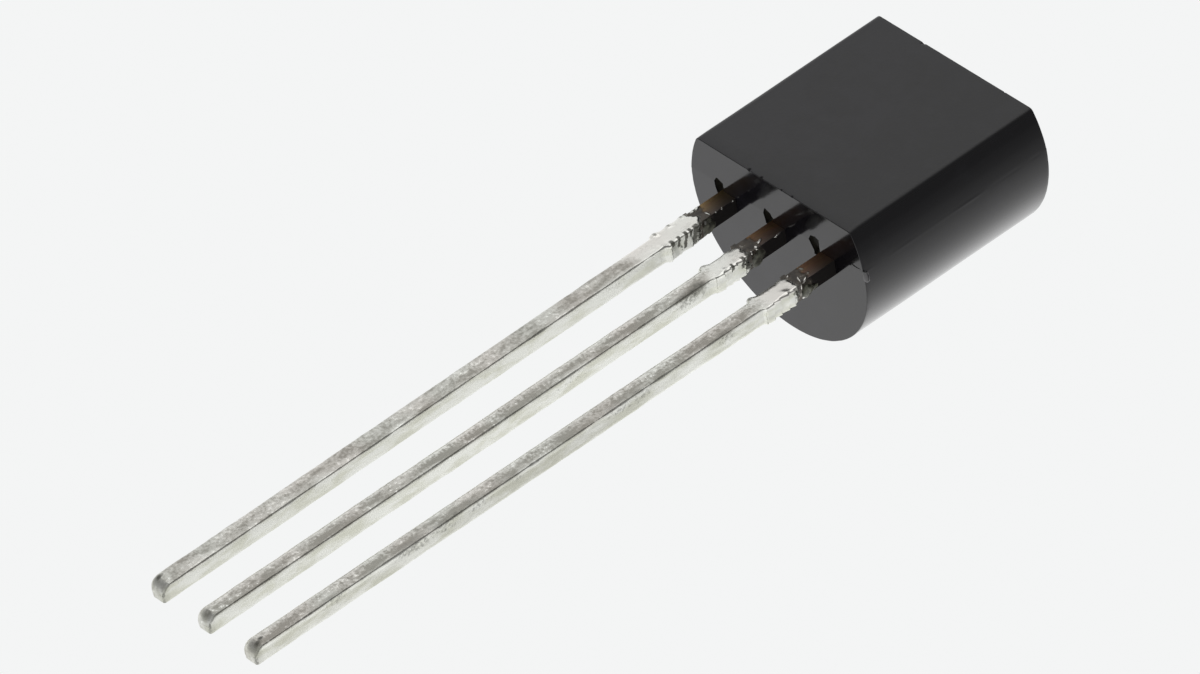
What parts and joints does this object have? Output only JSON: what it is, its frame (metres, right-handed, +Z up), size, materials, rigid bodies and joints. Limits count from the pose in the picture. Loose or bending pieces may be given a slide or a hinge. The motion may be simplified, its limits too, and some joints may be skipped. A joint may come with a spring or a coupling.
{
  "type": "to-92 transistor",
  "caption": "Small signal transistor: a black moulded body with one flat face and a rounded back, and a row of straight solder-coated leads.",
  "frame": {"origin": "on the surface that the part rests on, under the middle of its bounding box", "axes": "+Z up with the flat face up; +Y from the ends of the leads to the body; X across the row of leads"},
  "size_m": [0.0046, 0.0182, 0.004],
  "materials": {
    "epoxy": "fine matte on the flat, smooth on the seating face",
    "copper": "bare copper alloy, darkened by handling and heat",
    "solder": "hot dipped tin-lead solder, mottled",
    "silver_epoxy": "matte",
    "silicon": "polished",
    "gold": "bright gold wire"
  },
  "bodies": {
    "root": {"moulded_body": "epoxy", "left_lead": "copper", "centre_lead": "copper", "right_lead": "copper", "left_lead_coat": "solder", "centre_lead_coat": "solder", "right_lead_coat": "solder", "die_attach": "silver_epoxy", "silicon_die": "silicon", "left_bond_wire": "gold", "right_bond_wire": "gold"}
  },
  "joints": []
}
